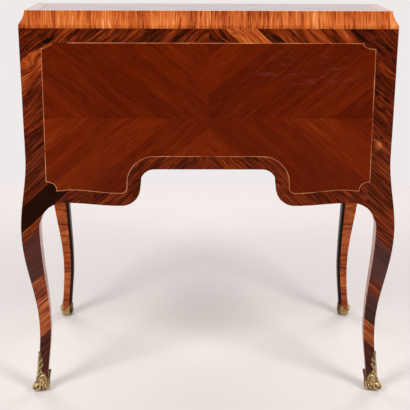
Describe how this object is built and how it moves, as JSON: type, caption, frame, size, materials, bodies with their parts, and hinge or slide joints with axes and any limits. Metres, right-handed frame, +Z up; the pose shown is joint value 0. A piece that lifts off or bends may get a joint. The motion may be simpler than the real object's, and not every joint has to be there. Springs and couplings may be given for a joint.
{
  "type": "cylinder desk",
  "caption": "Cylinder desk on cabriole legs with bronze feet: a curved fall turns back over pigeonholes, with a pull-out writing slide, frieze drawers, a kneehole and a finished back.",
  "frame": {"origin": "on the floor, under the middle of the desk", "axes": "+Z up, -Y out of the front towards the sitter, +Y out of the finished back, +X to the sitter's right"},
  "size_m": [0.9404, 0.5544, 1],
  "materials": {
    "rosewood": "polished veneer",
    "tulipwood": "polished veneer",
    "oak": "waxed, matt",
    "gilt_bronze": "worn gilding",
    "iron": "forged, dark",
    "brass": "dull",
    "leather": "waxed hide"
  },
  "bodies": {
    "case": {"back_cornice": "tulipwood", "front_cornice": "tulipwood", "left_cornice": "tulipwood", "right_cornice": "tulipwood", "top_panel": "tulipwood", "back_panel": "rosewood", "front_apron": "rosewood", "left_side_panel": "rosewood", "right_side_panel": "rosewood", "left_partition": "rosewood", "right_partition": "rosewood", "bed_board": "oak", "left_drawer_board": "oak", "right_drawer_board": "oak", "left_centre_runner": "oak", "right_centre_runner": "oak", "left_slide_guide": "oak", "right_slide_guide": "oak", "left_pivot_pin": "iron", "right_pivot_pin": "iron", "front_left_leg": "rosewood", "front_right_leg": "rosewood", "rear_left_leg": "rosewood", "rear_right_leg": "rosewood", "front_left_sabot": "gilt_bronze", "front_right_sabot": "gilt_bronze", "rear_left_sabot": "gilt_bronze", "rear_right_sabot": "gilt_bronze", "nest_base": "rosewood", "nest_top": "rosewood", "nest_shelf": "rosewood", "nest_back": "oak", "nest_left_end": "rosewood", "nest_right_end": "rosewood", "nest_left_lower_divider": "rosewood", "nest_right_lower_divider": "rosewood", "nest_left_upper_divider": "rosewood", "nest_right_upper_divider": "rosewood"},
    "cylinder": {"cylinder_shell": "rosewood", "cylinder_lock": "brass", "left_cylinder_arm": "iron", "right_cylinder_arm": "iron", "left_cylinder_knob": "gilt_bronze", "right_cylinder_knob": "gilt_bronze"},
    "slide": {"writing_slide": "rosewood", "writing_leather": "leather", "slide_lipping": "rosewood", "left_slide_knob": "gilt_bronze", "right_slide_knob": "gilt_bronze"},
    "centre_drawer": {"centre_drawer_front": "rosewood", "centre_drawer_tray": "oak", "centre_drawer_knob": "gilt_bronze"},
    "left_drawer": {"left_drawer_front": "rosewood", "left_drawer_tray": "oak", "left_drawer_knob": "gilt_bronze"},
    "right_drawer": {"right_drawer_front": "rosewood", "right_drawer_tray": "oak", "right_drawer_knob": "gilt_bronze"},
    "small_left_drawer": {"nest_left_drawer": "tulipwood"},
    "small_right_drawer": {"nest_right_drawer": "tulipwood"}
  },
  "joints": [
    {"name": "cylinder_turn", "type": "hinge", "parent": "case", "child": "cylinder", "pos_m": [0, 0.016, 0.7385], "axis": [-1, 0, 0], "range_deg": [0, 82]},
    {"name": "slide_pull", "type": "slide", "parent": "case", "child": "slide", "axis": [0, -1, 0], "range_m": [0, 0.24]},
    {"name": "centre_drawer_pull", "type": "slide", "parent": "case", "child": "centre_drawer", "axis": [0, -1, 0], "range_m": [0, 0.28]},
    {"name": "left_drawer_pull", "type": "slide", "parent": "case", "child": "left_drawer", "axis": [0, -1, 0], "range_m": [0, 0.28]},
    {"name": "right_drawer_pull", "type": "slide", "parent": "case", "child": "right_drawer", "axis": [0, -1, 0], "range_m": [0, 0.28]},
    {"name": "small_left_drawer_pull", "type": "slide", "parent": "case", "child": "small_left_drawer", "axis": [0, -1, 0], "range_m": [0, 0.12]},
    {"name": "small_right_drawer_pull", "type": "slide", "parent": "case", "child": "small_right_drawer", "axis": [0, -1, 0], "range_m": [0, 0.12]}
  ]
}
